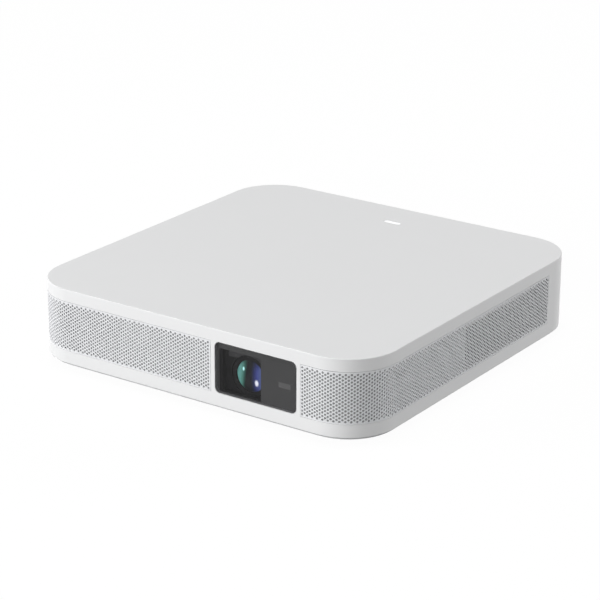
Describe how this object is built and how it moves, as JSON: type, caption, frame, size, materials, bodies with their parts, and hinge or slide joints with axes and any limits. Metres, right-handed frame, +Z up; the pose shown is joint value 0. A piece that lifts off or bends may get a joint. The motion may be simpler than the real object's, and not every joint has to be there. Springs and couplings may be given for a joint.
{
  "type": "portable projector",
  "caption": "Low square white portable projector with wrap-round perforated grilles, a dark lens window, focus drive, blower, speakers and rear ports.",
  "frame": {"origin": "middle of the footprint, on the surface that the feet stand on", "axes": "+Z up, the lens looks along -Y, +X to the right when seen from the front"},
  "size_m": [0.2, 0.2016, 0.043],
  "materials": {
    "shell_white": "fine satin texture",
    "cover_grey": "matte",
    "grille_white": "satin, perforated",
    "window_glass": "gloss with a printed dark border",
    "dark_plastic": "matte",
    "light_white": "translucent",
    "foot_rubber": "matte",
    "brass": "turned",
    "steel": "plated",
    "copper": "plain copper",
    "aluminium": "extruded",
    "engine_black": "black coated",
    "lens_glass": "coated",
    "board_green": "solder mask",
    "nylon": "plain",
    "cone_paper": "pressed fibre"
  },
  "bodies": {
    "housing": {"upper_shell": "shell_white", "bottom_cover": "cover_grey", "left_grille": "grille_white", "right_grille": "grille_white", "lens_window": "window_glass", "window_bezel": "dark_plastic", "autofocus_sensor": "dark_plastic", "status_light": "light_white", "status_light_board": "board_green", "foot_front_left": "foot_rubber", "foot_front_right": "foot_rubber", "foot_rear_left": "foot_rubber", "foot_rear_right": "foot_rubber", "cover_screw_front_left": "steel", "cover_screw_front_right": "steel", "cover_screw_rear_left": "steel", "cover_screw_rear_right": "steel", "tripod_insert": "brass", "lens_barrel": "engine_black", "focus_motor": "steel", "engine_housing": "engine_black", "engine_lid": "engine_black", "prism": "lens_glass", "relay_lens": "lens_glass", "red_filter": "lens_glass", "blue_filter": "lens_glass", "micromirror_board": "board_green", "red_light_module": "copper", "blue_light_module": "copper", "green_light_module": "copper", "side_heat_spreader": "copper", "rear_heat_spreader": "copper", "side_heat_pipe": "copper", "rear_heat_pipe": "copper", "fin_stack": "aluminium", "blower_housing": "dark_plastic", "blower_lid": "dark_plastic", "mainboard": "board_green", "processor_heatsink": "aluminium", "rear_port_panel": "dark_plastic", "dc_jack": "dark_plastic", "video_port": "steel", "data_port": "steel", "audio_jack": "dark_plastic", "power_switch": "steel", "antenna_board": "board_green", "left_speaker_box": "dark_plastic", "left_speaker_driver": "steel", "right_speaker_box": "dark_plastic", "right_speaker_driver": "steel"},
    "power_button": {"power_button": "dark_plastic"},
    "fan_rotor": {"fan_impeller": "dark_plastic"},
    "focus_ring": {"focus_ring": "nylon"},
    "focus_pinion": {"focus_pinion": "brass"},
    "lens_group": {"lens_cell": "engine_black", "front_lens": "lens_glass", "rear_lens": "lens_glass"},
    "left_cone": {"left_speaker_cone": "cone_paper"},
    "right_cone": {"right_speaker_cone": "cone_paper"}
  },
  "joints": [
    {"name": "power_button_press", "type": "slide", "parent": "housing", "child": "power_button", "axis": [0, -1, 0], "range_m": [0, 0.0008], "stiffness_N_per_m": 800, "springref_m": -0.0005},
    {"name": "fan_spin", "type": "hinge", "parent": "housing", "child": "fan_rotor", "pos_m": [0.04571, 0.04119, 0.016], "axis": [0, 0, 1], "continuous": true},
    {"name": "focus_ring_turn", "type": "hinge", "parent": "housing", "child": "focus_ring", "pos_m": [0.0335, -0.08, 0.0215], "axis": [0, 1, 0], "range_deg": [0, 80]},
    {"name": "focus_pinion_turn", "type": "hinge", "parent": "housing", "child": "focus_pinion", "pos_m": [0.0161, -0.08, 0.0215], "axis": [0, 1, 0], "range_deg": [-307, 0]},
    {"name": "lens_group_slide", "type": "slide", "parent": "housing", "child": "lens_group", "axis": [0, 1, 0], "range_m": [0, 0.0024]},
    {"name": "left_cone_stroke", "type": "slide", "parent": "housing", "child": "left_cone", "axis": [-1, 0, 0], "range_m": [-0.0008, 0.0008], "stiffness_N_per_m": 1500},
    {"name": "right_cone_stroke", "type": "slide", "parent": "housing", "child": "right_cone", "axis": [1, 0, 0], "range_m": [-0.0008, 0.0008], "stiffness_N_per_m": 1500}
  ],
  "couplings": [
    {"joint": "focus_ring_turn", "follows": "lens_group_slide", "rad_per_m": 581.77},
    {"joint": "focus_pinion_turn", "follows": "lens_group_slide", "rad_per_m": -2230.1}
  ]
}
